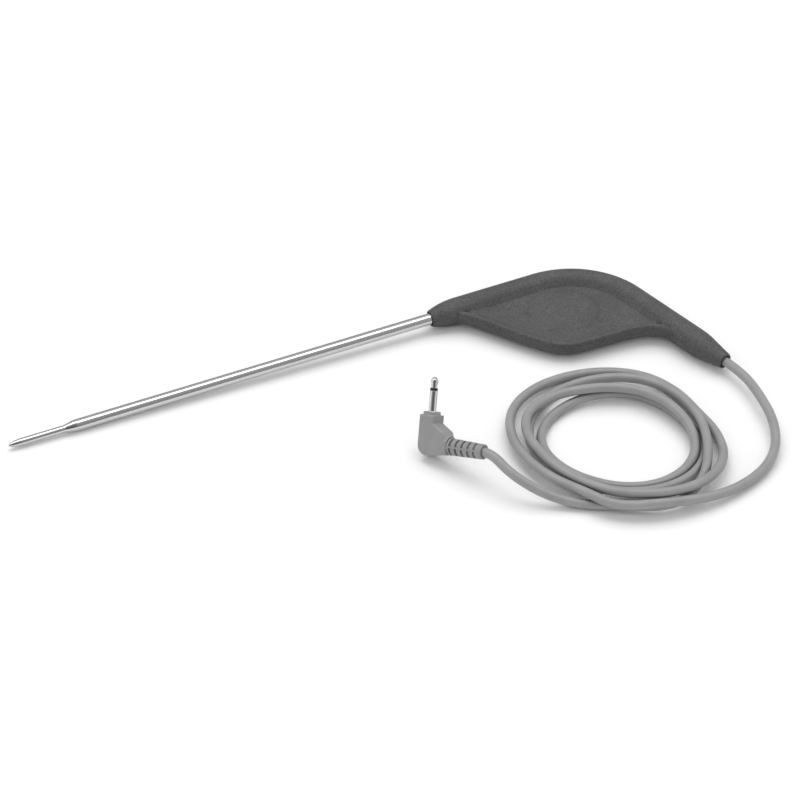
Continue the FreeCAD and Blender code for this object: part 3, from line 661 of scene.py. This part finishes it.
def turn_points():
    """The coil's points: each 45-degree value, with one eased in between each pair."""
    knots = [BEFORE_COIL] + [knot for turn in COIL_TURNS for knot in turn] + [AFTER_COIL]
    first = 2 * np.array(knots[0]) - knots[1]
    last = 2 * np.array(knots[-1]) - knots[-2]
    knots = np.array([first] + knots + [last])
    between = (-knots[:-3] + 9 * knots[1:-2] + 9 * knots[2:-1] - knots[3:]) / 16
    points = []
    for step in range(len(COIL_TURNS) * POINTS_PER_TURN - 1):
        far, height = knots[2 + step // 2] if step % 2 == 0 else between[1 + step // 2]
        angle = math.radians(COIL_START_ANGLE - step * 360 / POINTS_PER_TURN)
        x = COIL_MIDDLE[0] + far / SPLINE_PULL * math.cos(angle)
        y = COIL_MIDDLE[1] + far / SPLINE_PULL * math.sin(angle)
        points.append((x, y, height))
    return points


def cord_route():
    """The cord's points from the handle to the plug, and the place where it leaves the handle."""
    leaving = HANDLE_PLACE @ Vector((*TAIL_END, 0))
    way = HANDLE_PLACE.to_3x3() @ Vector((*TAIL_WAY, 0))
    boot_end = PLUG_PLACE @ BOOT_END
    boot_way = PLUG_PLACE.to_3x3() @ BOOT_WAY
    first = [leaving - way * CORD_SET_BACK, leaving + way * CORD_FIRST_RUN]
    last = [boot_end + boot_way * BOOT_RUN, boot_end - boot_way * CORD_SET_BACK]
    return first + CORD_LEAD + turn_points() + CORD_TAIL + last, leaving


def build_cord():
    route, leaving = cord_route()
    curve = bpy.data.curves.new("cord", "CURVE")
    curve.dimensions = "3D"
    spline = curve.splines.new("NURBS")
    spline.points.add(len(route) - 1)
    for point, (x, y, z) in zip(spline.points, route):
        point.co = (x * MM, y * MM, z * MM, 1.0)
    spline.order_u = 3
    spline.use_endpoint_u = True
    spline.resolution_u = 8
    curve.bevel_depth = CORD_R * MM
    curve.bevel_resolution = 8
    curve.use_fill_caps = True
    cord = to_object(
        curve, "cord", cord_material(), "cord_jacket", "cord_lead", "cord_coil", "cord_tail",
    )


# --- inner pieces --------------------------------------------------------------------------------------
INNER_FINISHES = {
    "steel": ("inner_steel", (0.6, 0.6, 0.6), 0.25),
    "nickel": ("inner_nickel", (0.62, 0.6, 0.57), 0.25),
    "cord_jacket": ("inner_cord", (0.25, 0.25, 0.25), 0.45),
    "black_plastic": ("inner_black", (0.015, 0.015, 0.015), 0.4),
    "core_nylon": ("inner_nylon", (0.09, 0.09, 0.09), 0.45),
    "wire_insulation": ("inner_insulation", (0.62, 0.6, 0.52), 0.4),
    "shrink_sleeve": ("inner_shrink", (0.02, 0.02, 0.02), 0.35),
    "tinned_wire": ("inner_tin", (0.66, 0.65, 0.62), 0.3),
    "sealant": ("inner_sealant", (0.35, 0.33, 0.28), 0.3),
    "paste": ("inner_paste", (0.7, 0.7, 0.68), 0.7),
    "bead_glass": ("inner_glass", (0.12, 0.1, 0.08), 0.15),
}
METAL_SLOTS = ("steel", "nickel", "tinned_wire")


def finish_inner_nodes():
    """Every piece inside gets its own finish, seen when the part is opened or cut."""
    made = {}
    for piece in frame["record"]["subparts"]:
        node = frame["nodes"][piece["node"]]
        slot = piece["material_slot"]
        if node.hide_render:
            continue
        if slot not in made:
            name, colour, rough = INNER_FINISHES[slot]
            if slot in METAL_SLOTS:
                made[slot] = metal_material(name, colour, rough, (1.0, 1.0, 1.0))
            else:
                made[slot] = plastic_material(name, colour, rough)
        node.data.materials.clear()
        node.data.materials.append(made[slot])


# --- stage ----------------------------------------------------------------------------------------------
KEY_ELEVATION, KEY_DISTANCE, KEY_SIZE, KEY_POWER = math.radians(118.0), 1.3, (1.5, 1.1), 10.8
FILL_ELEVATION, FILL_DISTANCE, FILL_SIZE, FILL_POWER = math.radians(35.0), 1.3, (2.2, 1.2), 7.5
CARD_ELEVATION, CARD_DISTANCE, CARD_SIZE, CARD_POWER = math.radians(96.0), 1.3, (3.0, 0.55), 16.0
WORLD_LOW, WORLD_HIGH, WORLD_TOP = 0.16, 0.7, 0.8
CAMERA_SHADE, SHADE_FOCUS = 0.8, 4.0
WALLS, WALL_FOCUS = 1.5, 6.0


def add_camera():
    level = Vector((-math.sin(CAMERA_BEARING), math.cos(CAMERA_BEARING), 0))
    ahead = level * math.cos(CAMERA_ELEVATION) - Vector((0, 0, math.sin(CAMERA_ELEVATION)))
    data = bpy.data.cameras.new("camera")
    data.lens, data.sensor_width = CAMERA_LENS, 36.0
    data.clip_start, data.clip_end = 0.01, 20.0
    camera = bpy.data.objects.new("camera", data)
    camera.location = LOOK_AT - ahead * CAMERA_DISTANCE
    camera.rotation_euler = ahead.to_track_quat("-Z", "Y").to_euler()
    bpy.context.scene.collection.objects.link(camera)
    bpy.context.scene.camera = camera
    return level


def overhead(level, elevation, distance):
    """A place above the object; elevations past 90 degrees are behind it."""
    return (level * -math.cos(elevation) + Vector((0, 0, math.sin(elevation)))) * distance


def add_area(name, level, elevation, distance, size, power, shiny):
    """A soft light; a shiny one is only seen in reflections, as a white card is."""
    offset = overhead(level, elevation, distance)
    data = bpy.data.lights.new(name, "AREA")
    data.shape, data.size, data.size_y = "RECTANGLE", size[0], size[1]
    data.energy = power
    light = bpy.data.objects.new(name, data)
    light.location = LOOK_AT + offset
    side = Vector((level.y, -level.x, 0))
    back = offset.normalized()
    light.rotation_euler = Matrix((side, back.cross(side), back)).transposed().to_euler()
    light.visible_glossy = shiny
    light.visible_diffuse = not shiny
    bpy.context.scene.collection.objects.link(light)


class WorldMaths:
    """The world's nodes, each of which works out one value from two."""

    def __init__(self, tree):
        self.tree = tree
        self.place = tree.nodes.new("ShaderNodeTexCoord").outputs["Generated"]

    def combine(self, kind, operation, first, second):
        node = self.tree.nodes.new(kind)
        node.operation = operation
        for socket, value in zip(node.inputs, (first, second)):
            if isinstance(value, bpy.types.NodeSocket):
                self.tree.links.new(value, socket)
            else:
                socket.default_value = value
        return node.outputs["Value"]

    def maths(self, operation, first, second):
        return self.combine("ShaderNodeMath", operation, first, second)

    def facing(self, way):
        return self.combine("ShaderNodeVectorMath", "DOT_PRODUCT", self.place, way)

    def towards(self, way, focus):
        """1 straight towards a way, and less all round it."""
        return self.maths("POWER", self.maths("MAXIMUM", self.facing(way), 0.0), focus)

    def rise(self, height, low, high, top):
        """Goes from low at the horizon to high at the top height."""
        node = self.tree.nodes.new("ShaderNodeMapRange")
        for socket, value in zip(node.inputs[1:5], (0.0, top, low, high)):
            socket.default_value = value
        self.tree.links.new(height, node.inputs[0])
        return node.outputs[0]


def add_world(level):
    """A soft room: pale overhead and at the side walls, dark round the camera and at the horizon."""
    world = bpy.data.worlds.new("studio")
    world.use_nodes = True
    w = WorldMaths(world.node_tree)
    side = Vector((level.y, -level.x, 0))
    camera_way = overhead(level, CAMERA_ELEVATION, 1.0)
    height = w.facing((0, 0, 1))
    shade = w.maths("MULTIPLY", w.towards(camera_way, SHADE_FOCUS), CAMERA_SHADE)
    ceiling = w.rise(height, WORLD_LOW, WORLD_HIGH, WORLD_TOP)
    room = w.maths("MULTIPLY", ceiling, w.maths("SUBTRACT", 1.0, shade))
    walls = w.maths("ADD", w.towards(side, WALL_FOCUS), w.towards(-side, WALL_FOCUS))
    low_walls = w.maths("MULTIPLY", walls, w.maths("SUBTRACT", 1.0, height))
    total = w.maths("ADD", room, w.maths("MULTIPLY", low_walls, WALLS))
    background = world.node_tree.nodes["Background"]
    world.node_tree.links.new(total, background.inputs["Strength"])
    background.inputs["Color"].default_value = (1, 1, 1, 1)
    bpy.context.scene.world = world


FLOOR_SIZE, FLOOR_DROP = 3.0, 0.00002


def add_floor():
    bm = bmesh.new()
    bmesh.ops.create_grid(bm, x_segments=8, y_segments=8, size=FLOOR_SIZE / 2)
    mesh = bpy.data.meshes.new("studio_floor")
    bm.to_mesh(mesh)
    bm.free()
    floor = bpy.data.objects.new("studio_floor", mesh)
    floor.location = (0, 0, -FLOOR_DROP)
    mesh.materials.append(floor_material())
    bpy.context.scene.collection.objects.link(floor)


level = add_camera()
plug_parts = build_plug()
build_cord()
build_handle()
build_probe()
finish_inner_nodes()
add_floor()
add_world(level)
add_area("key", level, KEY_ELEVATION, KEY_DISTANCE, KEY_SIZE, KEY_POWER, False)
add_area("fill", level, FILL_ELEVATION, FILL_DISTANCE, FILL_SIZE, FILL_POWER, False)
add_area("card", level, CARD_ELEVATION, CARD_DISTANCE, CARD_SIZE, CARD_POWER, True)
bpy.context.scene.view_settings.view_transform = "Standard"
